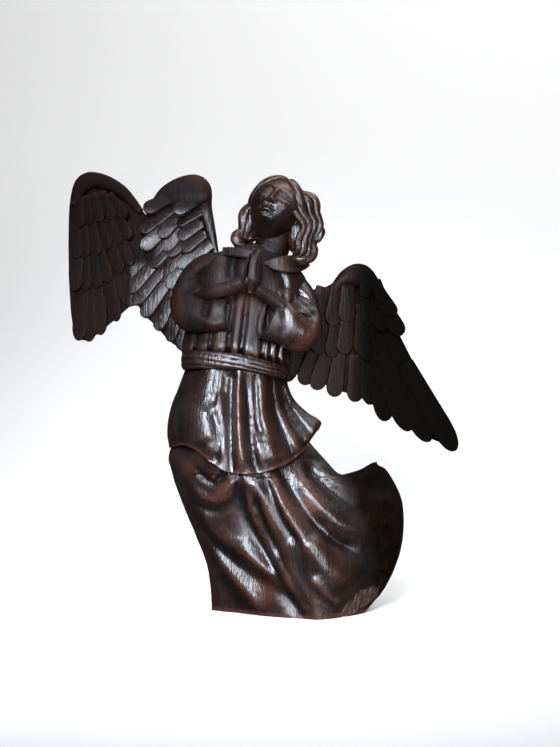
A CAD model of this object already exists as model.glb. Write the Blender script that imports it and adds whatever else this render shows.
import math
import bpy
import numpy as np
from mathutils import Matrix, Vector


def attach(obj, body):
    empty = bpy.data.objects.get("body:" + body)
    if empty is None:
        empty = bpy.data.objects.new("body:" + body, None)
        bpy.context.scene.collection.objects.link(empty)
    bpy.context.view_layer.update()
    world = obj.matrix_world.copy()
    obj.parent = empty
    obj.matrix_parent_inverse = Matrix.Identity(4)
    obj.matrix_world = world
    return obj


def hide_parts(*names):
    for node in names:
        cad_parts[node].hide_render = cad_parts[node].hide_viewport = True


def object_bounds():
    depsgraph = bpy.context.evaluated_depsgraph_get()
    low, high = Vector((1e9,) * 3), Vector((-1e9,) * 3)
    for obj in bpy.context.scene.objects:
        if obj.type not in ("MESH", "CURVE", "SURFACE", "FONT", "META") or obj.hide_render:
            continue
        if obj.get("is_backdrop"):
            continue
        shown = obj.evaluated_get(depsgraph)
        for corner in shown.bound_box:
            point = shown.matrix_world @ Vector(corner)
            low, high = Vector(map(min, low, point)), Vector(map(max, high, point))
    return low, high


# A carved oak angel with praying hands, 0.63 m tall. Sizes below are in millimetres,
# +Z up, -Y towards the spectator, and become metres when a mesh is made.
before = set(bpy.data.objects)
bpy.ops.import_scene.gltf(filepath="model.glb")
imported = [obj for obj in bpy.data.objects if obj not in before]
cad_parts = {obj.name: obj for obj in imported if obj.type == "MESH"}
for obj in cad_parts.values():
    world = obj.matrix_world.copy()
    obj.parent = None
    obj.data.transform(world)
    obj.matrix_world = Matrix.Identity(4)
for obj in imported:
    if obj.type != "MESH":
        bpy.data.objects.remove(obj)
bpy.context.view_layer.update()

# The robe: the long under-robe of the figure, cut from the same oak block as all of the body.
# It hangs in deep slanting folds and trails to the spectator's right, where its end is left
# rough from the chisel and one low lump has broken away to bare wood.
MM = 0.001
# left x, left z, right x, right z, front y, left edge y, fall to the right, crest x, power, sag
ROBE = [
    [-97, 0, 118, 0, -54, 36, 112, 50, 1.3, 0],
    [-98, 26, 148, 30, -56, 32, 84, 46, 1.4, 0],
    [-104, 66, 168, 72, -58, 28, 64, 40, 1.5, 0],
    [-119, 106, 176, 114, -59, 24, 52, 28, 1.6, 0],
    [-134, 142, 173, 158, -60, 20, 43, 4, 1.8, 8],
    [-146, 174, 154, 196, -59, 16, 39, -29, 2, 17],
    [-149, 183, 140, 206, -58, 15, 39, -35, 2.1, 21],
    [-151, 191, 133, 210, -56, 13, 40, -38.5, 2.1, 20],
    [-153, 199, 90, 193, -55, 12, 42, -44, 2.2, 2],
    [-157, 217, 64, 214, -52, 12, 50, -54, 2.3, 0],
    [-150, 240, 42, 238, -48, 12, 58, -60, 2.3, 0],
    [-139, 262, 28, 258, -44, 12, 68, -62, 2.3, 0],
]
ROBE_BACK = 54
ROBE_FRONT_SHARE = 0.82
# the lower 0.4 of the table takes 0.6 of the mesh rows
ROBE_LOW_SHARE = 0.4
ROBE_LOW_ROWS = 0.6
ROBE_SLANT = 2.5
ROBE_EVEN = 0.35
ROBE_SLANT_TOP = 0.6
FALL_POWER = 1.5
# share ** 3 * (1 - share) is at most 1 / 9.5
SAG_SCALE = 9.5
TRAIN_RIPPLE = 2.4
# fold lines in the front plane, half width on the left and right of the run, height
ROBE_FOLDS = [
    [[[-136, 168], [-98, 122], [-52, 88], [-8, 57], [20, 36]], 17, 9, 11],
    [[[-128, 138], [-94, 100], [-48, 64], [-10, 40]], 9, 12, -8],
    [[[-104, 98], [-76, 62], [-48, 32], [-22, 2]], 11, 7, 8],
    [[[-92, 58], [-66, 26], [-52, 0]], 10, 13, -5],
    [[[-58, 196], [-48, 143], [-20, 88], [11, 32], [34, 0]], 6, 12, -13],
    [[[-36, 167], [-20, 125], [4, 82]], 4, 8, -9],
    [[[-20, 192], [-1, 143], [25, 101]], 4, 8, -9],
    [[[-2, 202], [25, 157], [64, 111], [110, 84]], 11, 6, -12],
    [[[-16, 200], [8, 140], [50, 78], [84, 40]], 14, 14, 6],
    [[[32, 213], [60, 178], [98, 150], [126, 140]], 9, 6, -9],
    [[[20, 206], [46, 166], [88, 126], [130, 112]], 11, 9, 5],
    [[[52, 204], [84, 182], [120, 172]], 9, 8, 5],
    [[[41, 57], [62, 36], [83, 18]], 9, 5, 5],
    [[[-118, 208], [-102, 190], [-88, 184], [-75, 198]], 3, 6, -7],
    [[[-130, 186], [-108, 165], [-87, 160], [-67, 178], [-60, 194]], 6, 4, 6],
    [[[-134, 170], [-112, 150], [-86, 145], [-64, 162]], 4, 5, -4],
    [[[-6, 92], [18, 48], [40, 14]], 4, 6, -3],
    [[[40, 116], [66, 80], [94, 42]], 18, 16, 8],
]
FOLD_STEPS = 30
FOLD_CREST = 1.5
FOLD_BLUNT = 1.5
FOLD_END = 0.25
FOLD_FADE = 0.2


# Smooth run through the rows of a table, place 0 at the first and 1 at the last.
def run(table, place):
    rows = np.asarray(table, float)
    last = len(rows) - 1
    along = np.clip(np.asarray(place, float), 0, 1) * last
    step = np.minimum(along.astype(int), last - 1)
    t = (along - step)[..., None]
    a, b, c, d = (rows[np.clip(step + k, 0, last)] for k in (-1, 0, 1, 2))
    return b + 0.5 * t * (c - a + t * (2 * a - 5 * b + 4 * c - d + t * (3 * (b - c) + d - a)))


# Soft step from 0 at low to 1 at high.
def ease(value, low, high):
    t = np.clip((value - low) / (high - low), 0, 1)
    return t * t * (3 - 2 * t)


# Height of the cloth over its plain surface at x, z, with one sharp crest along each fold.
def folds(lines, x, z):
    at = np.stack([np.ravel(x), np.ravel(z)], 1)
    total = np.zeros(len(at))
    every = np.arange(len(at))
    for points, left, right, height in lines:
        line = run(points, np.linspace(0, 1, FOLD_STEPS))
        step = np.diff(line, axis=0)
        off = at[:, None] - line[:-1]
        share = np.clip((off * step).sum(2) / (step ** 2).sum(1), 0, 1)
        gap = np.linalg.norm(off - share[..., None] * step, axis=2)
        near = gap.argmin(1)
        place = (near + share[every, near]) / (FOLD_STEPS - 1)
        beside = off[every, near]
        turn = step[near, 0] * beside[:, 1] - step[near, 1] * beside[:, 0]
        width = np.where(turn > 0, left, right)
        ends = FOLD_END + (1 - FOLD_END) * ease(np.minimum(place, 1 - place), 0, FOLD_FADE)
        away = np.hypot(gap[every, near], FOLD_BLUNT) - FOLD_BLUNT
        total += height * ends * np.exp(-(away / width) ** FOLD_CREST)
    return total.reshape(np.shape(x))


# Column u of a garment: whether it is in front, and its place across from -1 left to 1 right.
def column(u, front_share):
    front = u < front_share
    turn = np.pi * np.where(front, u / front_share, (u - front_share) / (1 - front_share))
    return front, np.where(front, -np.cos(turn), np.cos(turn))


# How far a garment stands out across its width, one at the crest and none at the edges.
def fullness(across, crest, power):
    rightward = (across - crest) / (1 - crest)
    leftward = (crest - across) / (1 + crest)
    return 1 - np.clip(np.where(across > crest, rightward, leftward), 0, 1) ** power


# The grid of places round (u) and along (t) a skin.
def grid(columns, rows):
    return np.meshgrid(np.arange(columns) / columns, np.linspace(0, 1, rows))


# A closed skin through rings of points, capped at both ends, or joined end to end as a loop.
def skin(name, points, loop=False):
    rows, columns = points.shape[:2]
    verts = points.reshape(-1, 3)
    i, j = np.meshgrid(np.arange(rows if loop else rows - 1), np.arange(columns), indexing="ij")
    after = (j + 1) % columns
    upper = (i + 1) % rows
    corners = [i * columns + j, i * columns + after, upper * columns + after, upper * columns + j]
    quads = np.stack(corners, 2).reshape(-1, 4)
    caps = np.empty((0, 3), int)
    if not loop:
        verts = np.vstack([verts, points[0].mean(0), points[-1].mean(0)])
        ring = np.arange(columns)
        after = (ring + 1) % columns
        top = (rows - 1) * columns
        first = np.stack([np.full(columns, len(verts) - 2), after, ring], 1)
        last = np.stack([np.full(columns, len(verts) - 1), top + ring, top + after], 1)
        caps = np.stack([first, last], 1).reshape(-1, 3)
    mesh = bpy.data.meshes.new(name)
    mesh.from_pydata((verts * MM).tolist(), [], quads.tolist() + caps.tolist())
    mesh.update()
    a, b, c = np.moveaxis(verts[np.vstack([quads[:, :3], quads[:, [0, 2, 3]], caps])], 1, 0)
    if (a * np.cross(b, c)).sum() < 0:
        mesh.flip_normals()
    made = bpy.data.objects.new(name, mesh)
    bpy.context.scene.collection.objects.link(made)
    return made


u, place = grid(220, 120)
upper = 1 - (1 - ROBE_LOW_SHARE) * (1 - place) / (1 - ROBE_LOW_ROWS)
t = np.where(place < ROBE_LOW_ROWS, ROBE_LOW_SHARE * place / ROBE_LOW_ROWS, upper)
xl, zl, xr, zr, yf, yl, fall, crest, power, sag = np.moveaxis(run(ROBE, t), -1, 0)
front, across = column(u, ROBE_FRONT_SHARE)
even = (across + 1) / 2
slant = np.where(front, ROBE_SLANT * (ROBE_EVEN - np.minimum(t, ROBE_SLANT_TOP)), 0)
share = even + slant * even * (1 - even)
x = xl + (xr - xl) * share
z = zl + (zr - zl) * share - sag * SAG_SCALE * share ** 3 * (1 - share)
right_edge = yf + fall * ((xr - crest) / 100) ** FALL_POWER
edge = yl + (right_edge - yl) * share
behind = edge + (ROBE_BACK - edge) * fullness(across, 0, 2.6)
leftward = np.maximum(0, (crest - x) / (crest - xl)) ** power
rightward = np.maximum(0, (x - crest) / 100) ** FALL_POWER
plain = yf + (yl - yf) * leftward + fall * rightward
inner = ease(np.minimum(share, 1 - share), 0, 0.1)
ripple = np.sin(0.19 * z + 9 * share)
relief = folds(ROBE_FOLDS, x, z) + ease(share, 0.84, 0.95) * TRAIN_RIPPLE * ripple
y = np.where(front, plain - relief * inner, behind)
robe = skin("robe", np.stack([x, y, np.maximum(z, 0)], -1))

# The tunic: the short skirt over the robe, of the same block, falling from the sash in narrow
# folds to a hem that dips in front and stands off the robe with a plain cut edge.
# left x, right x, front y, back y, from the hem up
TUNIC = [
    [-156, 55, -67, 56],
    [-159, 58, -70, 58],
    [-157, 41, -68, 58],
    [-152, 27, -64, 56],
    [-144, 18, -58, 52],
    [-137, 13, -53, 49],
    [-130, 10, -50, 46],
]
TUNIC_FRONT_SHARE = 0.76
TUNIC_EDGE_Y = 10
HEM_Z = [230, 234, 227, 211, 199, 196, 197, 202, 211, 228, 255]
BACK_HEM_LEFT = 236
BACK_HEM_RIGHT = 255
WAIST_LEFT = 352
WAIST_RIGHT = 326
TUNIC_FOLDS = [
    [[[-64, 339], [-67, 284], [-64, 192]], 4, 8, -10],
    [[[-54, 336], [-55, 284], [-50, 194]], 5, 5, 4],
    [[[-92, 284], [-83, 248], [-87, 204]], 6, 7, -6],
    [[[-47, 336], [-43, 284], [-38, 237], [-29, 193]], 4, 7, -8],
    [[[-34, 333], [-32, 276], [-25, 246]], 4, 6, -6],
    [[[-24, 330], [-20, 270], [-4, 202]], 6, 6, 3],
    [[[-13, 329], [-7, 284], [6, 249], [22, 212]], 4, 7, -8],
    [[[-4, 325], [8, 281], [27, 249], [41, 225]], 4, 5, -6],
    [[[3, 321], [17, 284], [48, 242]], 4, 5, -6],
    [[[-112, 292], [-120, 262], [-112, 232]], 26, 26, 5],
    [[[-132, 336], [-138, 290], [-140, 246]], 4, 7, -3],
    [[[-84, 342], [-86, 318], [-92, 284]], 3, 6, -4],
    [[[-74, 341], [-76, 320], [-78, 300]], 3, 5, -4],
]
u, t = grid(170, 76)
xl, xr, yf, yb = np.moveaxis(run(TUNIC, t), -1, 0)
front, across = column(u, TUNIC_FRONT_SHARE)
share = (across + 1) / 2
x = xl + (xr - xl) * share
back_hem = BACK_HEM_LEFT + (BACK_HEM_RIGHT - BACK_HEM_LEFT) * share
low = np.where(front, run([[h] for h in HEM_Z], share)[..., 0], back_hem)
high = WAIST_LEFT + (WAIST_RIGHT - WAIST_LEFT) * share
z = low + (high - low) * t
out = fullness(across, -0.15, 2.4)
relief = folds(TUNIC_FOLDS, x, z) * ease(out, 0, 0.3)
cloth = TUNIC_EDGE_Y + (yf - TUNIC_EDGE_Y) * out - relief
behind = TUNIC_EDGE_Y + (yb - TUNIC_EDGE_Y) * fullness(across, 0, 2.4)
tunic = skin("tunic", np.stack([x, np.where(front, cloth, behind), z], -1))

# The jacket: the upper body in wide flat pleats that end in rounded tongues over the sash.
# Carved in the same block, its waist drooping towards the spectator's right.
# middle x, z, half width, depth in front, depth behind
JACKET = [
    [-61, 338, 60, 42, 42],
    [-62, 356, 71, 47, 46],
    [-62, 365, 77, 58, 49],
    [-59, 386, 75, 57, 50],
    [-49, 420, 76, 56, 50],
    [-42, 455, 80, 54, 50],
    [-36, 482, 72, 46, 45],
    [-28, 500, 46, 34, 36],
    [-20, 512, 27, 26, 28],
]
JACKET_FRONT_SHARE = 0.78
SHOULDER_LEAN = 0.19
WAIST_X = -62
PLEAT_X = [-122, -101, -76, -58, -29, -18, -7, 5]
PLEAT_LOW = 318
PLEAT_HIGH = 440
PLEAT_SPLAY = 0.11
PLEAT_DEEP = 6
CHEST_FOLDS = [
    [[[-60, 500], [-65, 480], [-64, 458]], 7, 9, -11],
    [[[-8, 478], [4, 462], [6, 446]], 4, 6, -4],
]


# How far the waist droops at x: level on the left, falling to the right.
def droop(x):
    return 0.13 * (x - WAIST_X) + 0.1 * np.hypot(x - WAIST_X, 20)


u, t = grid(180, 70)
x, z, half, deep_front, deep_back = np.moveaxis(run(JACKET, t), -1, 0)
front, across = column(u, JACKET_FRONT_SHARE)
deep = np.sqrt(np.maximum(0, 1 - across ** 2))
x = x + half * across
shoulder = ease(t, 0.3, 0.7)
z = z - droop(x) * (1 - shoulder) - SHOULDER_LEAN * half * across * shoulder
pleats = []
for px in PLEAT_X:
    top = [px + (PLEAT_HIGH - PLEAT_LOW) * PLEAT_SPLAY, PLEAT_HIGH]
    pleats.append([[[px, PLEAT_LOW], top], 2, 3.2, -PLEAT_DEEP])
relief = folds(pleats + CHEST_FOLDS, x, z) * np.minimum(1, 2 * deep)
z = z - 0.8 * relief * ease(t, 0.35, 0.2)
y = np.where(front, -deep * deep_front - relief, deep * deep_back)
jacket = skin("jacket", np.stack([x, y, z], -1))

# The sash: a wide cloth band wound round the waist, its creases running slantwise along it,
# standing proud of tunic and jacket. Carved in the same block.
SASH_Z = 350
SASH_WIDE = 70
SASH_DEEP = 49
SASH_HALF = 11.5
SASH_THICK = 7
SASH_CREASES = 3
SASH_CREASE_DEEP = 1.5
SASH_TWIST = 0.9
u, t = grid(56, 161)
turn = 2 * np.pi * t
high = np.sin(2 * np.pi * u)
outward = np.cos(2 * np.pi * u)
slant = SASH_TWIST * np.sin(turn + 0.8) + 0.3 * np.sin(3 * turn)
lines = np.abs(np.sin(np.pi * (SASH_CREASES * high / 2 + slant)))
out = SASH_THICK * np.sign(outward) * np.abs(outward) ** 0.5
out = out - SASH_CREASE_DEEP * (1 - lines) ** 3 * (outward > 0)
x = WAIST_X + (SASH_WIDE + out) * np.cos(turn)
y = (SASH_DEEP + out) * np.sin(turn)
z = SASH_Z + SASH_HALF * high * (1 - 0.2 * np.cos(turn)) - droop(x)
sash = skin("sash", np.stack([x, y, z], -1)[:-1], loop=True)

# The sleeves: wide cloth sleeves bent at the elbow, creased at the bend, with hollow hanging cuffs
# from which the bare forearms come. All in the same block.
# the spectator's eye: how far in front of the statue's middle, and how high
EYE_AWAY = 1700
EYE_UP = 250
# x, y, z as the eye sees them and two radii, from shoulder to cuff
SLEEVE_RIGHT_ARM = [
    [-84, -8, 490, 17, 22],
    [-102, -6, 480, 23, 27],
    [-116, -4, 462, 27, 29],
    [-125, -14, 436, 29, 32],
    [-124, -30, 420, 27, 31],
    [-110, -44, 416, 25, 26],
    [-94, -54, 416, 23, 20],
    [-75, -60, 417, 22, 15],
]
SLEEVE_LEFT_ARM = [
    [4, 6, 466, 15, 18],
    [16, 2, 456, 22, 24],
    [26, -4, 436, 26, 28],
    [31, -16, 408, 28, 31],
    [26, -32, 392, 28, 31],
    [12, -46, 398, 27, 27],
    [0, -56, 406, 30, 20],
    [-14, -62, 413, 32, 14],
]
SLEEVE_CREASES = [
    [[[-100, 470], [-112, 456], [-138, 438]], 4, 8, -9],
    [[[-102, 466], [-116, 466], [-130, 463]], 3, 5, -4],
    [[[-101, 480], [-101, 468], [-100, 456]], 3, 4, -9],
    [[[-108, 455], [-120, 440], [-130, 432]], 6, 6, 3],
    [[[-97, 455], [-97, 428], [-101, 404]], 3, 6, -8],
    [[[-102, 403], [-90, 395], [-76, 399]], 3, 4, 3.5],
    [[[-20, 440], [2, 424], [8, 400], [0, 376]], 4, 7, -4],
    [[[8, 464], [10, 452], [5, 440]], 3, 3, -4],
    [[[16, 464], [20, 454], [12, 442]], 3, 3, -4],
    [[[8, 434], [26, 442], [44, 424], [50, 398]], 3, 6, -6],
    [[[14, 426], [30, 428], [42, 412], [44, 396]], 4, 5, -4],
    [[[30, 436], [46, 420], [53, 402]], 4, 5, 3],
]
CUFF_WALL = 3.5
CUFF_RIM = 2
# the hollow in a cuff: reach past its end, and share of its inner width
CUFF_HOLLOW = [[-22, 0.55], [-11, 0.9], [0, 1], [9, 1.1]]
CUFF_TONGUE = [
    [-19, -48, 434, 4, 4], [-26, -54, 412, 6, 5], [-28, -56, 394, 6, 5], [-24, -55, 383, 4, 3],
]
CUFF_OPENING = [
    [-13, -56, 440, 2, 12], [-17, -58, 420, 4, 16], [-18, -58, 400, 4.5, 16],
    [-16, -56, 384, 2.5, 10],
]


# The true places of points seen at x, z whose depth is y.
def seen(points):
    nearer = 1 + points[..., 1:2] / EYE_AWAY
    flat = points * [1, 0, 1] - [0, 0, EYE_UP]
    return flat * nearer + points * [0, 1, 0] + [0, 0, EYE_UP]


# A limb, lock or flap through stations of x, y, z and two radii.
def sweep(name, stations, mesh, creases=None, strands=0, groove=0.0, twist=0.0, square=1.0):
    u, t = grid(*mesh)
    path = np.linspace(0, 1, mesh[1])
    values = run(stations, path)
    centre = seen(values[:, :3])
    along = seen(run(stations, path + 0.01)[:, :3])
    along -= seen(run(stations, path - 0.01)[:, :3])
    along /= np.linalg.norm(along, axis=1)[:, None]
    side = np.cross([0, 1, 0], along)
    side /= np.linalg.norm(side, axis=1)[:, None]
    out = np.cross(along, side)
    turn = 2 * np.pi * u
    swell = 1
    if strands:
        swell = 1 + groove * (np.abs(np.sin(strands * turn / 2 + twist * t)) - 0.6)
    wide = np.sign(np.cos(turn)) * np.abs(np.cos(turn)) ** square * values[:, 3:4] * swell
    deep = np.sign(np.sin(turn)) * np.abs(np.sin(turn)) ** square * values[:, 4:5] * swell
    points = centre[:, None] + wide[..., None] * side[:, None] + deep[..., None] * out[:, None]
    if creases:
        facing = ease(-np.sin(turn) * out[:, 1:2], 0, 0.6)
        points[..., 1] -= folds(creases, points[..., 0], points[..., 2]) * facing
    return skin(name, points)


# Closed meshes joined to the first one, or cut out of it.
def carve(whole, others, operation):
    shapes = bpy.data.collections.new("shapes")
    for other in others:
        shapes.objects.link(other)
    cut = whole.modifiers.new("carve", "BOOLEAN")
    cut.operation = operation
    cut.solver = "MANIFOLD"
    cut.operand_type = "COLLECTION"
    cut.collection = shapes
    bpy.context.view_layer.update()
    graph = bpy.context.evaluated_depsgraph_get()
    made = bpy.data.meshes.new_from_object(whole.evaluated_get(graph))
    whole.modifiers.remove(cut)
    whole.data = made
    for other in others:
        bpy.data.objects.remove(other)
    bpy.data.collections.remove(shapes)
    return whole


sleeves = []
for stations in (SLEEVE_RIGHT_ARM, SLEEVE_LEFT_ARM):
    before, end = np.array(stations[-2:], float)
    out = (end - before)[:3] / np.linalg.norm((end - before)[:3])
    rim = [*(end[:3] + out * 3), *(end[3:] + CUFF_RIM)]
    sleeve = sweep("sleeve", stations + [rim], (72, 72), creases=SLEEVE_CREASES)
    hollow = []
    for reach, narrow in CUFF_HOLLOW:
        hollow.append([*(end[:3] + out * reach), *((end[3:] - CUFF_WALL) * narrow)])
    sleeves.append(carve(sleeve, [sweep("mouth", hollow, (48, 16))], "DIFFERENCE"))
cuff_tongue = sweep("tongue", CUFF_TONGUE, (32, 28))
cuff_opening = sweep("cuff opening", CUFF_OPENING, (32, 28))

# The forearms and hands: bare forearms rising from the cuffs to two hands laid together, finger
# against finger, the palms parting towards the wrists. All in the same block.
FOREARM_RIGHT = [
    [-120, -34, 438, 7, 7], [-90, -62, 449, 10.5, 10.5], [-67, -76, 456, 10, 10],
    [-50, -84, 463, 9, 9.5], [-43, -86, 467, 8, 9],
]
FOREARM_LEFT = [
    [6, -58, 424, 10, 10], [-12, -68, 439, 10, 10], [-30, -79, 452, 9.5, 9.5], [-42, -86, 463, 8, 9],
]
WRIST = [-43, -87, 456]
FINGER_TIP = [-34, -92, 511]
HAND_TURN = math.radians(28)
HAND_HALF = 13
RIGHT_HAND_THICK = 9
LEFT_HAND_THICK = 14
FINGER_GROOVE = 1.1
PALM_GAP = 3.2
TIP_FROM = 0.72
TIP_ROUND = 2.4
arms = [sweep("forearm", FOREARM_RIGHT, (36, 30)), sweep("forearm", FOREARM_LEFT, (36, 30))]
wrist, tip = seen(np.array([WRIST, FINGER_TIP], float))
length = np.linalg.norm(tip - wrist)
up = (tip - wrist) / length
wide = np.array([math.sin(HAND_TURN), math.cos(HAND_TURN), 0])
wide -= up * wide.dot(up)
wide /= np.linalg.norm(wide)
facing = np.cross(wide, up)


# Share of its full width along a tongue that ends round.
def round_tip(t, least):
    past = np.maximum(0, (t - TIP_FROM) / (1 - TIP_FROM))
    return np.sqrt(np.maximum(least, 1 - past ** TIP_ROUND))


# One hand or thumb: flat towards the other hand, domed on its back, with grooves between fingers.
def paddle(span, half, thick, middle, sign, fingers):
    u, t = grid(56, 38)
    start, end = span
    turn = 2 * np.pi * u
    across = np.cos(turn)
    taper = round_tip(t, 0.03)
    girth = 0.5 + 0.5 * ease(t, 0, 0.35)
    girth = girth * (1 - 0.18 * ease(t, 0.45, 1)) * taper
    back = np.maximum(0, np.sin(turn)) ** 0.7 * thick * (1 - 0.35 * t) * np.sqrt(taper)
    back = back * (0.3 + 0.7 * ease(t, 0, 0.3))
    groove = np.zeros_like(t)
    for k in range(1, fingers):
        groove += np.exp(-((across - (2 * k / fingers - 1)) / 0.09) ** 2)
    back = back - FINGER_GROOVE * groove * ease(t, 0.4, 0.55) * (np.sin(turn) > 0)
    short = 1 - 0.1 * across ** 2 * ease(t, 0.5, 1)
    rise = (start + (end - start) * t * short) * length
    aside = middle + across * half * girth
    apart = sign * (0.2 + PALM_GAP * (1 - t) + np.maximum(0.1, back))
    points = wrist + rise[..., None] * up + aside[..., None] * wide + apart[..., None] * facing
    return skin("hand", points)


hands = []
for sign, thick in ((-1, RIGHT_HAND_THICK), (1, LEFT_HAND_THICK)):
    hands.append(paddle((-0.16, 1), HAND_HALF, thick, 0, sign, 4))
    hands.append(paddle((0.1, 0.66), 4, 0.6 * thick, HAND_HALF, sign, 1))

# The head: a calm, plain face looking up, on a short neck, with smooth hair drawn back over the crown,
# small rolls along the brow and waved, curling locks at both sides. All in the same block.
HEAD_AT = [-5, -24, 562]
HEAD_SIZE = [36, 41, 44]
HEAD_ROLL = 24
HEAD_YAW = -12
HEAD_PITCH = -25
# the front half of the head takes 0.7 of the columns
FACE_COLUMNS = 0.7
JAW_FULL = 0.6
POLE_GAP = 0.02
# mirrored: distance from the middle, height, half width, half height, relief
FACE_BUMPS = [
    [14, 0.5, 8.5, 6, -4.5], [14, 0, 5.6, 3.4, 3.4], [0, -4, 3.3, 10, 4.6],
    [0, -14.4, 4.2, 4, 5.6], [4.7, -16, 2.6, 2.5, 2.8], [2.5, -18.8, 1.3, 1, -2],
    [0, -20, 5.5, 1.6, -1.4], [0, -22.4, 1.4, 2, -0.7], [3.1, -25.3, 4.4, 1.6, 2.1],
    [0, -29.6, 6.2, 2, 2.6], [0, -33, 7, 1.9, -1.5], [0, -38.4, 8.5, 4.6, 3.3],
    [9.8, -27, 1.6, 1.5, -0.9], [20, -12, 9, 9, 2.2],
]
# lids, crease, brow, mouth: level, bend, middle, reach, half thickness, relief
FACE_ARCS = [
    [2.9, 0.055, 14, 7.6, 0.9, 1.5],
    [-3, -0.045, 14, 7, 0.9, 1.1],
    [5.2, 0.05, 14, 8, 0.9, -0.7],
    [10.4, 0.032, 14, 11, 2.4, 1.8],
    [-27.3, 0.008, 0, 9.5, 0.75, -1.5],
]
NECK = [[-22, 4, 488, 28, 26], [-11, -6, 512, 25, 25], [-6, -14, 540, 27, 26]]
HAIR_AT = [0, 6, 8]
HAIR_SIZE = [38.5, 42, 38]
# degrees round from the parting, height over the eyes, radius
BROW_ROLL = [[2, 31, 2], [18, 28, 4], [38, 22, 5], [58, 13, 5.5], [76, 2, 5.5], [92, -10, 5]]
LOCKS = [
    [[22, -12, 590, 2, 2], [43, -18, 583, 6, 8], [53, -17, 560, 7, 9], [52, -15, 538, 7, 9],
     [46, -16, 514, 7, 8], [36, -18, 498, 5, 6]],
    [[18, -24, 590, 2, 2], [35, -31, 579, 5, 7], [45, -30, 556, 6, 8], [44, -28, 534, 6, 8],
     [38, -28, 511, 7, 8], [29, -28, 495, 5, 6]],
    [[13, -34, 584, 2, 2], [28, -42, 569, 5, 6], [37, -40, 548, 6, 8], [37, -37, 526, 6, 8],
     [31, -36, 507, 6, 8], [23, -34, 496, 5, 6]],
    [[13, -40, 572, 2, 2], [24, -48, 558, 4, 5], [30, -46, 541, 5, 7], [29, -42, 522, 6, 7],
     [23, -40, 508, 5, 6], [18, -36, 501, 3, 4]],
    [[50, -12, 540, 5, 5], [57, -14, 534, 6, 7], [56, -16, 524, 6, 6], [51, -18, 522, 4, 4]],
    [[18, -30, 500, 6, 6], [28, -34, 494, 8, 8], [40, -28, 499, 9, 9], [44, -18, 512, 8, 8]],
    [[26, -36, 506, 3, 4], [36, -34, 501, 5, 5], [38, -34, 511, 4, 4], [33, -36, 513, 3, 3]],
    [[-26, -4, 578, 6, 8], [-42, -8, 566, 8, 10], [-52, -8, 548, 9, 12], [-54, -8, 530, 7, 9]],
    [[-28, -14, 566, 5, 6], [-40, -16, 556, 6, 8], [-47, -16, 540, 6, 8], [-46, -14, 524, 5, 6]],
    [[-52, -10, 536, 6, 6], [-59, -12, 528, 8, 8], [-57, -14, 518, 8, 8], [-50, -14, 514, 5, 5]],
    [[-26, 0, 572, 10, 11], [-38, -2, 556, 14, 14], [-42, -2, 538, 14, 14], [-40, -4, 520, 10, 11]],
    [[22, 4, 590, 9, 9], [38, 4, 566, 15, 15], [40, 2, 534, 16, 16], [33, -2, 508, 12, 12]],
    [[20, -22, 580, 14, 14], [28, -22, 552, 20, 18], [30, -20, 524, 19, 17], [25, -18, 500, 13, 13]],
]
LOCK_MESH = (24, 38)
STRANDS = {"strands": 4, "groove": 0.16, "twist": 5.0}
WAVE = 2.6
WAVE_LONG = 38


# Height of the face over the plain skull; eyes at half height, nose and mouth share the lower half.
def face(x, z):
    total = np.zeros_like(x)
    for beside, up, wide, tall, height in FACE_BUMPS:
        for middle in sorted({-beside, beside}):
            total += height * np.exp(-((x - middle) / wide) ** 2 - ((z - up) / tall) ** 2)
    for level, bend, middle, reach, thick, height in FACE_ARCS:
        across = np.abs(x) - middle
        line = (z - level + bend * across ** 2) / thick
        total += height * np.exp(-(across / reach) ** 4 - line ** 2)
    return total


# A ball of radius one, open at its poles, with the angles of its points.
def ball(mesh):
    u, t = grid(*mesh)
    fall = np.pi * (POLE_GAP + (1 - 2 * POLE_GAP) * t)
    turn = 2 * np.pi * u
    points = [np.cos(turn) * np.sin(fall), np.sin(turn) * np.sin(fall), np.cos(fall)]
    return np.stack(points, -1), fall, turn


# Where the eye sees true points: the way back from seen().
def sighted(points):
    nearer = 1 + points[..., 1:2] / EYE_AWAY
    flat = points * [1, 0, 1] - [0, 0, EYE_UP]
    return flat / nearer + points * [0, 1, 0] + [0, 0, EYE_UP]


turned = Matrix.Rotation(math.radians(HEAD_ROLL), 3, "Y")
turned = turned @ Matrix.Rotation(math.radians(HEAD_YAW), 3, "Z")
turned = np.array(turned @ Matrix.Rotation(math.radians(HEAD_PITCH), 3, "X"))
u, t = grid(140, 100)
fall = np.pi * (POLE_GAP + (1 - 2 * POLE_GAP) * t)
in_front = u / (2 * FACE_COLUMNS)
at_back = 0.5 + (u - FACE_COLUMNS) / (2 * (1 - FACE_COLUMNS))
turn = np.where(u < FACE_COLUMNS, in_front, at_back) * 2 * np.pi
level = -np.cos(fall)
girth = np.sin(fall) ** np.where(level < 0, JAW_FULL, 1)
jaw = 1 - 0.2 * ease(-level, 0.1, 1)
x = -np.cos(turn) * girth * HEAD_SIZE[0] * jaw
y = -np.sin(turn) * girth * HEAD_SIZE[1]
z = level * HEAD_SIZE[2]
facing_front = ease(np.sin(turn), 0.15, 0.6) * np.minimum(1, 2 * np.sin(fall))
y = np.where(y < 0, 0.94 * y, y) - face(x, z) * facing_front
skull = skin("skull", np.stack([x, y, z], -1) @ turned.T + HEAD_AT)
crown, fall, turn = ball((104, 44))
strand = 1 + 0.012 * np.abs(np.sin(26 * turn + 3 * np.sin(3 * fall)))
cap = skin("hair", (crown * strand[..., None] * HAIR_SIZE + HAIR_AT) @ turned.T + HEAD_AT)
hair = []
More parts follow.
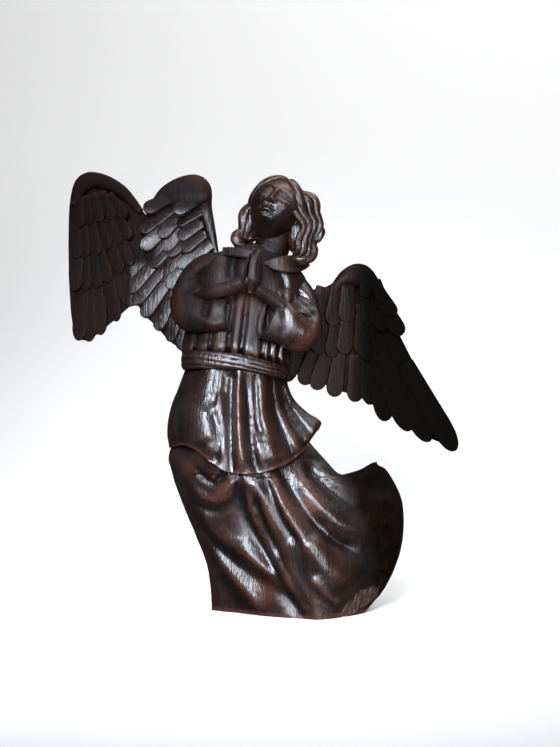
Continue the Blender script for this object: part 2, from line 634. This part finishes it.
for lock in LOCKS:
    path = np.linspace(0, 1, 14)
    stations = run(lock, path)
    wave = WAVE * np.sin(2 * np.pi * stations[:, 2] / WAVE_LONG)
    stations[:, 0] += wave * ease(path, 0, 0.3)
    hair.append(sweep("lock", stations, LOCK_MESH, **STRANDS))
for rise in (0, 8):
    for side in (-1, 1):
        round_brow, level, thick = run(BROW_ROLL, np.linspace(0, 1, 12)).T
        level = level + rise
        girth = np.sqrt(1 - (level / HEAD_SIZE[2]) ** 2)
        turn = np.radians(round_brow)
        x = side * np.sin(turn) * girth * HEAD_SIZE[0]
        y = -np.cos(turn) * girth * HEAD_SIZE[1]
        over = sighted(np.stack([x, y, level], -1) @ turned.T + HEAD_AT)
        stations = np.column_stack([over, thick, thick])
        hair.append(sweep("brow roll", stations, LOCK_MESH, **STRANDS))
neck = sweep("neck", NECK, (48, 20))

# The collar: two turned-down flaps of cloth over the jacket, either side of the throat, left as
# flat slabs with square edges. Carved in the same block.
COLLAR_RIGHT = [
    [-79, -26, 505, 7, 5], [-66, -34, 505, 7, 5], [-50, -42, 503, 7, 5], [-34, -46, 499, 6, 4],
]
COLLAR_LEFT = [
    [-22, -50, 490, 2, 2], [-7, -50, 488, 9, 4], [10, -43, 488, 12, 4], [26, -26, 489, 12, 4],
    [35, -6, 492, 10, 4],
]
collar = []
for flap in (COLLAR_RIGHT, COLLAR_LEFT):
    collar.append(sweep("collar", flap, (40, 24), square=0.45))

# The figure: all of the above as one block of oak, stained dark, waxed and rubbed, with the
# shallow scoops of the gouge left on it.
METRE = 1000
SCOOP = 7
SCOOP_DEEP = 0.5
TRAIN_SCOOP = 15
TRAIN_SCOOP_DEEP = 2.2
# the broken lump: x, z and half width along it
RAW_LUMP = [[82, 3, 5], [100, 13, 8], [116, 22, 12], [128, 28, 10]]
RAW_SCOOP = 9
RAW_SCOOP_DEEP = 3
HOLLOW_PASSES = 12
# where hands have rubbed the stain thin: x, z and half width
WORN = [
    [8, 598, 26], [-148, 432, 13], [-46, 432, 14], [-90, 386, 11], [-127, 202, 12], [-22, 34, 17],
    [40, 154, 13],
]


# How deep a point lies in the gouge scoops that cover a surface, 0 at their rims.
def scoops(points, size, seed):
    cell = np.floor(points / size).astype(np.int64)
    best = np.full(len(points), 9.0)
    for step in np.ndindex(3, 3, 3):
        near = cell + step - 1
        mixed = (near * [73856093, 19349663, 83492791]).sum(1) + seed * 7919
        off = [(np.sin((mixed % 9973) * k) * 43758.5453) % 1 for k in (1.1, 1.7, 2.3)]
        best = np.minimum(best, ((points / size - (near + np.stack(off, 1))) ** 2).sum(1))
    return np.clip(1 - best, 0, 1)


# A value for every point, under a name that the material reads.
def store(mesh, name, values):
    mesh.attributes.new(name, "FLOAT", "POINT").data.foreach_set("value", values)


# The scooped surface, with its hollows stored for the stain to follow.
def finish_carving(piece, deep):
    mesh = piece.data
    count = len(mesh.vertices)
    at = np.empty(count * 3)
    mesh.vertices.foreach_get("co", at)
    at = at.reshape(-1, 3) * METRE
    normal = np.empty(count * 3)
    mesh.vertex_normals.foreach_get("vector", normal)
    normal = normal.reshape(-1, 3)
    at = at - normal * deep(at)[:, None]
    ends = np.empty(len(mesh.edges) * 2, np.int32)
    mesh.edges.foreach_get("vertices", ends)
    a, b = ends.reshape(-1, 2).T
    links = np.maximum(1, np.bincount(ends, minlength=count))[:, None]
    flat = at
    for _ in range(HOLLOW_PASSES):
        total = [np.bincount(a, flat[b, k], count) + np.bincount(b, flat[a, k], count) for k in range(3)]
        flat = np.stack(total, 1) / links
    store(mesh, "hollow", ((flat - at) * normal).sum(1))
    at[:, 2] = np.maximum(at[:, 2], 0)
    mesh.vertices.foreach_set("co", (at * MM).ravel())
    mesh.shade_smooth()
    mesh.set_sharp_from_angle(angle=math.radians(48))
    mesh.update()
    return at


# Share of bare broken wood: the lump low on the train, with a torn edge.
def rawness(at):
    inside = np.full(len(at), -99.0)
    for x, z, half in run(RAW_LUMP, np.linspace(0, 1, FOLD_STEPS)):
        inside = np.maximum(inside, half - np.hypot(at[:, 0] - x, at[:, 2] - z))
    torn = 6 * (scoops(at, RAW_SCOOP, 5) - 0.5)
    return ease(inside + torn, -1, 2) * (at[:, 1] < 40)


# Share of rough chiselling: the end of the train.
def roughness(at):
    ragged = 16 * (scoops(at, 2 * TRAIN_SCOOP, 4) - 0.5)
    edge = at[:, 0] + 0.29 * (at[:, 2] - 193) + ragged
    return ease(edge, 56, 112) * ease(at[:, 2], 226, 214)


# Depth of the gouge on the figure.
def figure_depth(at):
    plain = SCOOP_DEEP * scoops(at, SCOOP, 1)
    train = TRAIN_SCOOP_DEEP * scoops(at, TRAIN_SCOOP, 2) * roughness(at)
    return plain + train + RAW_SCOOP_DEEP * (scoops(at, RAW_SCOOP, 3) - 0.5) * rawness(at)


# Share of soot in the figure's wax.
def dullness(at):
    x, _, z = at.T
    upper = (0.5 + 0.3 * ease(x, -84, -100)) * ease(x, 6, -14)
    upper = upper * (ease(z, 364, 376) * ease(z, 522, 506))
    return np.maximum(upper, 0.45 * ease(x, -92, -128) * ease(z, 364, 352))


body = [tunic, jacket, sash, *sleeves, cuff_tongue, *arms, *hands]
figure = carve(robe, body + [neck, skull, cap, *hair, *collar], "UNION")
figure = carve(figure, [cuff_opening], "DIFFERENCE")
figure.name = "carved_figure"
at = finish_carving(figure, figure_depth)
worn = np.zeros(len(at))
for x, z, half in WORN:
    worn = np.maximum(worn, np.exp(-((at[:, 0] - x) ** 2 + (at[:, 2] - z) ** 2) / half ** 2))
store(figure.data, "raw", rawness(at))
store(figure.data, "rough", np.maximum(roughness(at), dullness(at)))
store(figure.data, "worn", worn * (at[:, 1] < 30))


# A colour given as sRGB hex, in the renderer's linear light.
def colour(code):
    parts = [int(code[k:k + 2], 16) / 255 for k in (1, 3, 5)]
    return [c / 12.92 if c <= 0.04045 else ((c + 0.055) / 1.055) ** 2.4 for c in parts] + [1]


# A node with its settings and links: inputs take a socket to link or a value to set.
def node(tree, kind, inputs=None, **settings):
    made = tree.nodes.new(kind)
    for key, value in settings.items():
        setattr(made, key, value)
    for key, value in (inputs or {}).items():
        if isinstance(value, bpy.types.NodeSocket):
            tree.links.new(value, made.inputs[key])
        else:
            made.inputs[key].default_value = value
    return made


# Oak stained dark and waxed: nearly black in the hollows, warm brown where hands rubbed it,
# with upright grain and open pores that break the sheen into streaks.
GRAIN_ACROSS = 2.5
GRAIN_ALONG = 60
PORE_ACROSS = 1.8
PORE_ALONG = 12
CLOUD = 45.4545
RUBBED_THIN = "#4c2510"
BARE_WOOD = "#43332a"
SPLINTER = "#62503f"
SOOT = "#020201"


def stained_oak(name, deep, middle, rubbed, dull, wax, soot):
    made = bpy.data.materials.new(name)
    made.use_nodes = True
    tree = made.node_tree
    shader = tree.nodes["Principled BSDF"]
    place = node(tree, "ShaderNodeTexCoord").outputs["Object"]
    grain_scale = [METRE / GRAIN_ACROSS, METRE / GRAIN_ACROSS, METRE / GRAIN_ALONG]
    pore_scale = [METRE / PORE_ACROSS, METRE / PORE_ACROSS, METRE / PORE_ALONG]
    grain_at = node(tree, "ShaderNodeMapping", {"Vector": place, "Scale": grain_scale}).outputs[0]
    pore_at = node(tree, "ShaderNodeMapping", {"Vector": place, "Scale": pore_scale}).outputs[0]
    grain = node(tree, "ShaderNodeTexNoise", {"Vector": grain_at, "Scale": 1, "Detail": 3}).outputs[0]
    pores = node(tree, "ShaderNodeTexNoise", {"Vector": pore_at, "Scale": 1, "Detail": 2}).outputs[0]
    clouds = {"Vector": place, "Scale": METRE / CLOUD, "Detail": 3}
    cloud = node(tree, "ShaderNodeTexNoise", clouds).outputs[0]
    # the stain, deep in the hollows and rubbed on the ridges
    hollow = node(tree, "ShaderNodeAttribute", attribute_name="hollow").outputs["Fac"]
    wear = node(tree, "ShaderNodeMapRange", {"Value": hollow, 1: 0.9, 2: -2.2, 3: 0, 4: 1}).outputs[0]
    mixed = node(tree, "ShaderNodeMath", {0: cloud, 1: 0.5}, operation="SUBTRACT").outputs[0]
    mixed = node(tree, "ShaderNodeMath", {0: mixed, 1: 0.9, 2: wear}, operation="MULTIPLY_ADD").outputs[0]
    fine = node(tree, "ShaderNodeMath", {0: grain, 1: 0.5}, operation="SUBTRACT").outputs[0]
    mixed = node(tree, "ShaderNodeMath", {0: fine, 1: 0.7, 2: mixed}, operation="MULTIPLY_ADD").outputs[0]
    stain = node(tree, "ShaderNodeValToRGB", {"Fac": mixed})
    stain.color_ramp.elements[0].position = 0.1
    stain.color_ramp.elements[0].color = colour(deep)
    stain.color_ramp.elements[1].position = 0.95
    stain.color_ramp.elements[1].color = colour(rubbed)
    stain.color_ramp.elements.new(0.55).color = colour(middle)
    # rubbed spots, soot and torn bare wood
    worn = node(tree, "ShaderNodeAttribute", attribute_name="worn").outputs["Fac"]
    thin = node(tree, "ShaderNodeMath", {0: worn, 1: cloud}, operation="MULTIPLY").outputs[0]
    rubbing = {0: thin, 6: stain.outputs[0], 7: colour(RUBBED_THIN)}
    warm = node(tree, "ShaderNodeMix", rubbing, data_type="RGBA").outputs[2]
    rough = node(tree, "ShaderNodeAttribute", attribute_name="rough").outputs["Fac"]
    sooty = node(tree, "ShaderNodeMath", {0: rough, 1: soot}, operation="MULTIPLY").outputs[0]
    dimming = {0: sooty, 6: warm, 7: colour(SOOT)}
    dim = node(tree, "ShaderNodeMix", dimming, data_type="RGBA").outputs[2]
    raw = node(tree, "ShaderNodeAttribute", attribute_name="raw").outputs["Fac"]
    torn = node(tree, "ShaderNodeMath", {0: raw, 1: pores}, operation="MULTIPLY").outputs[0]
    torn = node(tree, "ShaderNodeMapRange", {"Value": torn, 1: 0.2, 2: 0.75, 3: 0, 4: 1}).outputs[0]
    flecks = node(tree, "ShaderNodeMapRange", {"Value": pores, 1: 0.5, 2: 0.7, 3: 0, 4: 1}).outputs[0]
    breaking = {0: flecks, 6: colour(BARE_WOOD), 7: colour(SPLINTER)}
    broken = node(tree, "ShaderNodeMix", breaking, data_type="RGBA").outputs[2]
    final = node(tree, "ShaderNodeMix", {0: torn, 6: dim, 7: broken}, data_type="RGBA").outputs[2]
    tree.links.new(final, shader.inputs["Base Color"])
    # the wax, gone where the wood is rough, sooty or torn
    matt = node(tree, "ShaderNodeMath", {0: rough, 1: raw}, operation="MAXIMUM").outputs[0]
    uneven = {"Value": cloud, 1: 0.3, 2: 0.7, 3: dull - 0.08, 4: dull + 0.08}
    sheen = node(tree, "ShaderNodeMapRange", uneven).outputs[0]
    sheen = node(tree, "ShaderNodeMath", {0: matt, 1: 0.4, 2: sheen}, operation="MULTIPLY_ADD").outputs[0]
    tree.links.new(sheen, shader.inputs["Roughness"])
    waxed = node(tree, "ShaderNodeMapRange", {"Value": matt, 1: 0, 2: 1, 3: wax, 4: 0.03}).outputs[0]
    tree.links.new(waxed, shader.inputs["Specular IOR Level"])
    lift = node(tree, "ShaderNodeMath", {0: pores, 1: 0.6, 2: grain}, operation="MULTIPLY_ADD").outputs[0]
    bump = node(tree, "ShaderNodeBump", {"Height": lift, "Strength": 0.75, "Distance": MM})
    tree.links.new(bump.outputs[0], shader.inputs["Normal"])
    return made


figure_oak = stained_oak(
    "stained waxed oak of the figure", "#0e0604", "#20100a", "#351c12", 0.36, 0.6, 0.8)
figure.data.materials.clear()
figure.data.materials.append(figure_oak)
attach(figure, "root")
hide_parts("figure")

# The right wing, on the spectator's left: a bent wing of its own piece of oak let in behind the
# shoulder, a smooth rounded bone above and rows of tile-like feathers, the outer half set back.
# top x and z, bottom x and z of the sheet, from the root outwards
RIGHT_WING_BLADE = [
    [-62, 452, -72, 396], [-88, 500, -100, 374], [-98, 556, -112, 366], [-102, 588, -126, 360],
    [-110, 608, -142, 370], [-126, 614, -156, 380], [-154, 606, -174, 400], [-178, 578, -192, 418],
    [-190, 556, -203, 440], [-194, 534, -202, 470],
]
RIGHT_WING_FAN = [
    [-172, 540, -176, 430], [-192, 562, -208, 428], [-222, 598, -228, 412], [-256, 616, -252, 392],
    [-274, 618, -268, 381], [-290, 604, -282, 384], [-297, 570, -292, 408], [-298, 520, -297, 466],
]
WING_THICK = 7
# x, z and two radii along the bone; its depth follows the sheet
RIGHT_WING_KNOB = [
    [-86, 484, 3, 3], [-96, 528, 7, 5], [-106, 566, 11, 8], [-115, 593, 19, 11],
    [-134, 596, 18, 9], [-160, 588, 12, 6], [-180, 570, 5, 3],
]
RIGHT_FAN_BAND = [
    [-196, 562, 5, 4], [-224, 592, 9, 6], [-256, 607, 11, 7], [-278, 602, 12, 7],
    [-290, 572, 7, 5],
]
FEATHER_THICK = 3.8
FAN_FEATHER_THICK = 2.6
FEATHER_ROLL = 14
NEAR_UNEVEN = 0.17
FAR_UNEVEN = 0.05
JOINT_GAP = 0.5
# tips along the row, first and last heading, count, length, half width, height at quill and tip
RIGHT_WING_ROWS = [
    [[[-210, 444], [-192, 416], [-172, 394], [-152, 373], [-132, 358]], -128, -98, 7, 68, 12, 0, 3],
    [[[-200, 538], [-197, 508], [-188, 492], [-176, 473], [-156, 452]], -152, -126, 6, 46, 12, 2, 6],
    [[[-190, 560], [-182, 545], [-174, 530], [-168, 511], [-156, 496], [-140, 480]], -148, -134, 6,
     44, 11, 4, 9],
    [[[-152, 566], [-149, 547], [-147, 529], [-142, 512], [-131, 496]], -160, -150, 5, 40, 11, 7,
     12],
]
RIGHT_FAN_ROWS = [
    [[[-284, 380], [-262, 380], [-236, 400], [-210, 428]], -96, -72, 5, 96, 12, 0, 3],
    [[[-286, 450], [-262, 452], [-236, 466], [-208, 488]], -94, -64, 6, 62, 10.5, 2, 6],
    [[[-286, 496], [-262, 500], [-236, 512], [-210, 524]], -92, -60, 6, 48, 9.5, 4, 8],
    [[[-282, 540], [-262, 545], [-240, 552], [-218, 552]], -90, -56, 5, 42, 9, 6, 10],
]


# Depth of the near sheet, bent back past its middle.
def right_sheet(x, z):
    return 42 + 0.1 * np.maximum(0, -130 - x) + 0.015 * (480 - z)


# Depth of the outer sheet, farther back.
def fan_sheet(x, z):
    return 54 + 0.12 * np.maximum(0, -200 - x) + 0.015 * (480 - z)


# The sheet a wing's feathers are carved on.
def blade(name, stations, sheet):
    u, t = grid(64, 90)
    top_x, top_z, bottom_x, bottom_z = np.moveaxis(run(stations, t), -1, 0)
    turn = 2 * np.pi * u
    down = (1 - np.cos(turn)) / 2
    x = top_x + (bottom_x - top_x) * down
    z = top_z + (bottom_z - top_z) * down
    y = sheet(x, z) + WING_THICK * (1 + np.sin(turn))
    return skin(name, seen(np.stack([x, y, z], -1)))


# Smooth rounded leading edge of a wing.
def bone(name, stations, sheet, lift):
    return sweep(name, [[x, sheet(x, z) - lift, z, a, b] for x, z, a, b in stations], (40, 50))


# Smooth swelling where the bone of a wing bends.
def bulb(name, at, size, sheet, lift, lean):
    x, z = at
    points = ball((48, 34))[0] * size
    points[..., 1] -= lean * points[..., 0]
    return skin(name, seen(points + [x, sheet(x, z) - lift, z]))


# One plain feather of unit length: a tongue, flat across, that swells and falls to a round tip.
def plain_feather():
    u, t = grid(40, 30)
    s = 1 - (1 - t) ** 1.5
    width = np.where(s < 0.7, 0.8 + 0.28 * s, 1) * round_tip(s, 0.004)
    turn = 2 * np.pi * u
    across = -np.cos(turn)
    flat = 0.7 * ease(1 - np.abs(across), 0, 0.14) + 0.3 * (1 - across ** 2)
    past = np.maximum(0, (s - 0.35) / 0.65)
    fall = 1 - 0.6 * past ** 2.5
    high = np.where(np.sin(turn) > 0, flat * fall, -1.0)
    return skin("feather", np.stack([s, across * width, high], -1) * METRE)


# Points that carry one feather each, with how it is turned and how large it is.
def quills(name, rows, sheet, roll, thick):
    at = []
    turns = []
    sizes = []
    for tips, start, end, count, length, half, low, high in rows:
        for t in np.linspace(0, 1, count):
            x, z = run(tips, t)
            angle = math.radians(start + (end - start) * t)
            quill_x = x - length * math.cos(angle)
            quill_z = z - length * math.sin(angle)
            foot = [quill_x, sheet(quill_x, quill_z) - low, quill_z]
            quill, tip = seen(np.array([foot, [x, sheet(x, z) - high, z]]))
            along = (tip - quill) / np.linalg.norm(tip - quill)
            out = np.array([0, -1, 0]) + along * along[1]
            out /= np.linalg.norm(out)
            axes = Matrix(np.array([along, np.cross(out, along), out]).T)
            axes = axes @ Matrix.Rotation(math.radians(roll), 3, "X")
            at.append(quill * MM)
            turns.append(axes.to_euler())
            sizes.append([MM * np.linalg.norm(tip - quill), MM * half, MM * thick])
    mesh = bpy.data.meshes.new(name)
    mesh.from_pydata([tuple(p) for p in at], [], [])
    mesh.attributes.new("turn", "FLOAT_VECTOR", "POINT").data.foreach_set("vector", np.ravel(turns))
    mesh.attributes.new("size", "FLOAT_VECTOR", "POINT").data.foreach_set("vector", np.ravel(sizes))
    made = bpy.data.objects.new(name, mesh)
    bpy.context.scene.collection.objects.link(made)
    return made


# A tree that sets one feather on every quill point, each a little different by hand.
def feather_tree():
    tree = bpy.data.node_groups.new("Feathers on quills", "GeometryNodeTree")
    sizes = [("Unevenness", "Float"), ("Seed", "Int")]
    for name, kind in [("Quills", "Geometry"), ("Feather", "Object"), ("Oak", "Material")] + sizes:
        tree.interface.new_socket(name, in_out="INPUT", socket_type="NodeSocket" + kind)
    tree.interface.new_socket("Feathers", in_out="OUTPUT", socket_type="NodeSocketGeometry")
    given = node(tree, "NodeGroupInput").outputs
    shape = node(tree, "GeometryNodeObjectInfo", {"Object": given["Feather"]}).outputs["Geometry"]
    turn = node(tree, "GeometryNodeInputNamedAttribute", {"Name": "turn"}, data_type="FLOAT_VECTOR")
    size = node(tree, "GeometryNodeInputNamedAttribute", {"Name": "size"}, data_type="FLOAT_VECTOR")
    uneven = given["Unevenness"]
    least = node(tree, "ShaderNodeVectorMath", {0: uneven, 1: [-1, -1, -1]}, operation="MULTIPLY")
    most = node(tree, "ShaderNodeVectorMath", {0: uneven, 1: [1, 1, 1]}, operation="MULTIPLY")
    limits = {"Min": least.outputs[0], "Max": most.outputs[0], "Seed": given["Seed"]}
    hand = node(tree, "FunctionNodeRandomValue", limits, data_type="FLOAT_VECTOR").outputs[0]
    turn = node(tree, "ShaderNodeVectorMath", {0: turn.outputs[0], 1: hand}, operation="ADD").outputs[0]
    turn = node(tree, "FunctionNodeEulerToRotation", {"Euler": turn}).outputs[0]
    growth = {"Points": given["Quills"], "Instance": shape, "Rotation": turn, "Scale": size.outputs[0]}
    placed = node(tree, "GeometryNodeInstanceOnPoints", growth)
    real = node(tree, "GeometryNodeRealizeInstances", {"Geometry": placed.outputs[0]})
    coat = {"Geometry": real.outputs[0], "Material": given["Oak"]}
    painted = node(tree, "GeometryNodeSetMaterial", coat)
    node(tree, "NodeGroupOutput", {"Feathers": painted.outputs[0]})
    return tree


feather_shape = plain_feather()
feathers = feather_tree()


# A wing of one mesh: sheets, bones and feathers joined, and cut clear of the figure's back.
def wing(name, sheets, rows, oak, dull, seed):
    grown = []
    for k, (table, sheet, roll, thick, uneven) in enumerate(rows):
        points = quills(name + " quills", table, sheet, roll, thick)
        growth = points.modifiers.new("feathers", "NODES")
        growth.node_group = feathers
        settings = {"Feather": feather_shape, "Oak": oak, "Unevenness": uneven, "Seed": seed + k}
        for item in feathers.interface.items_tree:
            if item.in_out == "INPUT" and item.name in settings:
                growth[item.identifier] = settings[item.name]
        bpy.context.view_layer.update()
        graph = bpy.context.evaluated_depsgraph_get()
        mesh = bpy.data.meshes.new_from_object(points.evaluated_get(graph))
        bpy.data.objects.remove(points)
        grown.append(bpy.data.objects.new("feathers", mesh))
        bpy.context.scene.collection.objects.link(grown[-1])
    made = carve(sheets[0], sheets[1:] + grown, "UNION")
    back = bpy.data.objects.new("back", figure.data.copy())
    back.data.transform(Matrix.Translation((0, JOINT_GAP * MM, 0)))
    for given in ("hollow", "raw", "rough", "worn"):
        back.data.attributes.remove(back.data.attributes[given])
    bpy.context.scene.collection.objects.link(back)
    made = carve(made, [back], "DIFFERENCE")
    made.name = name
    at = finish_carving(made, lambda at: SCOOP_DEEP * 0.6 * scoops(at, SCOOP, seed))
    store(made.data, "rough", dull(at))
    made.data.materials.clear()
    made.data.materials.append(oak)
    return made


# Share of soot on the right wing: the outer half behind the near feathers, and the bend.
def far_fan(at):
    x, y, z = at.T
    behind = ease(x, -172, -184) * ease(y - right_sheet(x, z), -8, -5) * ease(z, 488, 502)
    fan = 0.85 * np.maximum(behind, ease(x, -212, -220))
    return np.maximum(fan, 0.7 * ease(z, 562, 576))


right_oak = stained_oak(
    "stained waxed oak of the right wing", "#0b0503", "#1b0c08", "#2f170e", 0.36, 0.4, 0.3)
right_wing = wing(
    "carved_right_wing",
    [
        blade("right blade", RIGHT_WING_BLADE, right_sheet),
        blade("right fan", RIGHT_WING_FAN, fan_sheet),
        bone("right bone", RIGHT_WING_KNOB, right_sheet, 4),
        bone("right fan bone", RIGHT_FAN_BAND, fan_sheet, 3),
        bulb("right bulb", (-136, 585), [36, 9, 20], right_sheet, 4, 0.22),
    ],
    [
        (RIGHT_WING_ROWS, right_sheet, FEATHER_ROLL, FEATHER_THICK, NEAR_UNEVEN),
        (RIGHT_FAN_ROWS, fan_sheet, FEATHER_ROLL, FAN_FEATHER_THICK, FAR_UNEVEN),
    ],
    right_oak,
    far_fan,
    11,
)
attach(right_wing, "root")
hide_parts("right_wing")

# The left wing, on the spectator's right: a second piece of oak let in behind the other shoulder,
# with a round knob at its bend and long plain flight feathers running down and out to a point.
LEFT_WING_BLADE = [
    [-16, 424, -16, 362], [18, 442, 10, 340], [40, 451, 36, 330], [66, 457, 62, 318],
    [90, 474, 88, 308], [114, 485, 116, 300], [134, 470, 150, 280], [145, 436, 184, 258],
    [168, 388, 212, 242], [202, 322, 238, 234], [240, 256, 250, 236],
]
LEFT_WING_KNOB = [
    [80, 456, 9, 5], [96, 469, 14, 8], [113, 471, 18, 9], [130, 456, 13, 8],
    [138, 440, 7, 4],
]
LEFT_WING_ROWS = [
    [[[8, 322], [32, 318], [53, 310], [76, 301], [104, 294]], -114, -92, 5, 66, 13, 1, 4],
    [[[30, 364], [52, 361], [70, 357], [90, 361], [115, 361]], -112, -90, 5, 56, 12.5, 3, 7],
    [[[46, 402], [71, 401], [92, 406]], -106, -94, 3, 56, 13, 5, 9],
    [[[128, 290], [152, 268]], -84, -74, 2, 84, 14, 0, 3],
    [[[178, 252], [204, 236], [246, 227]], -68, -60, 3, 140, 16, 0, 3],
    [[[120, 352], [134, 392], [172, 388]], -84, -60, 4, 54, 12, 3, 7],
    [[[126, 400], [148, 424], [160, 414]], -82, -60, 3, 44, 11, 5, 9],
    [[[122, 440], [148, 436]], -84, -60, 2, 34, 10, 7, 11],
]


# Depth of the sheet, bent back past the knob.
def left_sheet(x, z):
    return 40 + 0.16 * np.maximum(0, x - 118) + 0.02 * (450 - z) + 5 * np.exp(-((x - 122) / 14) ** 2)


left_oak = stained_oak(
    "stained waxed oak of the left wing", "#0a0503", "#170b07", "#27130c", 0.4, 0.06, 0.9)
left_wing = wing(
    "carved_left_wing",
    [
        blade("left blade", LEFT_WING_BLADE, left_sheet),
        bone("left bone", LEFT_WING_KNOB, left_sheet, 3),
    ],
    [(LEFT_WING_ROWS, left_sheet, -FEATHER_ROLL, FAN_FEATHER_THICK, FAR_UNEVEN)],
    left_oak,
    lambda at: ease(at[:, 0], 90, 130),
    23,
)
bpy.data.objects.remove(feather_shape)
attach(left_wing, "root")
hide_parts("left_wing")

# The stage: a wide white paper sweep, flat under the statue and curved up behind it, lit by a
# window at the front left, a weaker one at the right and a lamp on the backdrop. Sizes in metres.
FLOOR_HALF = 6.0
FLOOR_FRONT = -3.5
FLOOR_BACK = 0.25
FLOOR_CURVE = 1.6
turn = np.linspace(0, np.pi / 2, 24)
depth = [FLOOR_FRONT, *(FLOOR_BACK + FLOOR_CURVE * np.sin(turn)), FLOOR_BACK + FLOOR_CURVE]
height = [0, *(FLOOR_CURVE * (1 - np.cos(turn))), 5.0]
verts = [(side * FLOOR_HALF, y, z) for y, z in zip(depth, height) for side in (-1, 1)]
faces = [[2 * k, 2 * k + 1, 2 * k + 3, 2 * k + 2] for k in range(len(depth) - 1)]
floor_mesh = bpy.data.meshes.new("floor")
floor_mesh.from_pydata(verts, [], faces)
floor_mesh.shade_smooth()
floor = bpy.data.objects.new("floor", floor_mesh)
bpy.context.scene.collection.objects.link(floor)
# Matt white paper: an even pale ground with only a soft shadow on it.
paper = bpy.data.materials.new("white paper sweep")
paper.use_nodes = True
paper.node_tree.nodes["Principled BSDF"].inputs["Base Color"].default_value = colour("#f6f6f6")
paper.node_tree.nodes["Principled BSDF"].inputs["Roughness"].default_value = 0.9
floor_mesh.materials.append(paper)
floor.visible_glossy = False
floor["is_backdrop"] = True


# A soft rectangular lamp, aimed at a point.
def lamp(name, at, aim, width, height, watts, tint, spread=180):
    data = bpy.data.lights.new(name, "AREA")
    data.shape = "RECTANGLE"
    data.size = width
    data.size_y = height
    data.energy = watts
    data.spread = math.radians(spread)
    data.color = colour(tint)[:3]
    made = bpy.data.objects.new(name, data)
    way = np.array(at) - np.array(aim)
    made.location = at
    flat = math.hypot(way[0], way[1])
    made.rotation_euler = (math.atan2(flat, way[2]), 0, math.atan2(way[0], -way[1]))
    made.visible_camera = False
    bpy.context.scene.collection.objects.link(made)


lamp("window", (-0.25, -1.3, 0.7), (-0.03, 0, 0.2), 0.7, 0.55, 7.1, "#e9f1ff", spread=50)
lamp("side window", (0.75, -1.45, 0.1), (0.04, 0, 0.1), 0.5, 0.6, 1.5, "#f2f6ff", spread=40)
lamp("backdrop light", (0.6, -0.1, 2.6), (0.2, 1.6, 0.7), 3.0, 1.0, 67, "#ffffff")
world = bpy.data.worlds.new("room")
world.use_nodes = True
world.node_tree.nodes["Background"].inputs["Color"].default_value = colour("#e8e8e8")
world.node_tree.nodes["Background"].inputs["Strength"].default_value = 0.05
bpy.context.scene.world = world
bpy.context.scene.view_settings.view_transform = "Standard"

# The camera stands where the photographer did, low and straight in front, aimed at the waist.
camera_data = bpy.data.cameras.new("camera")
camera_data.sensor_fit = "VERTICAL"
camera_data.sensor_height = 24
camera_data.lens = 39.06
camera = bpy.data.objects.new("camera", camera_data)
camera.location = (0, -EYE_AWAY * MM, EYE_UP * MM)
camera.rotation_euler = (math.radians(90) + math.atan2(334 - EYE_UP, EYE_AWAY), 0, 0)
bpy.context.scene.collection.objects.link(camera)
bpy.context.scene.camera = camera

low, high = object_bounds()
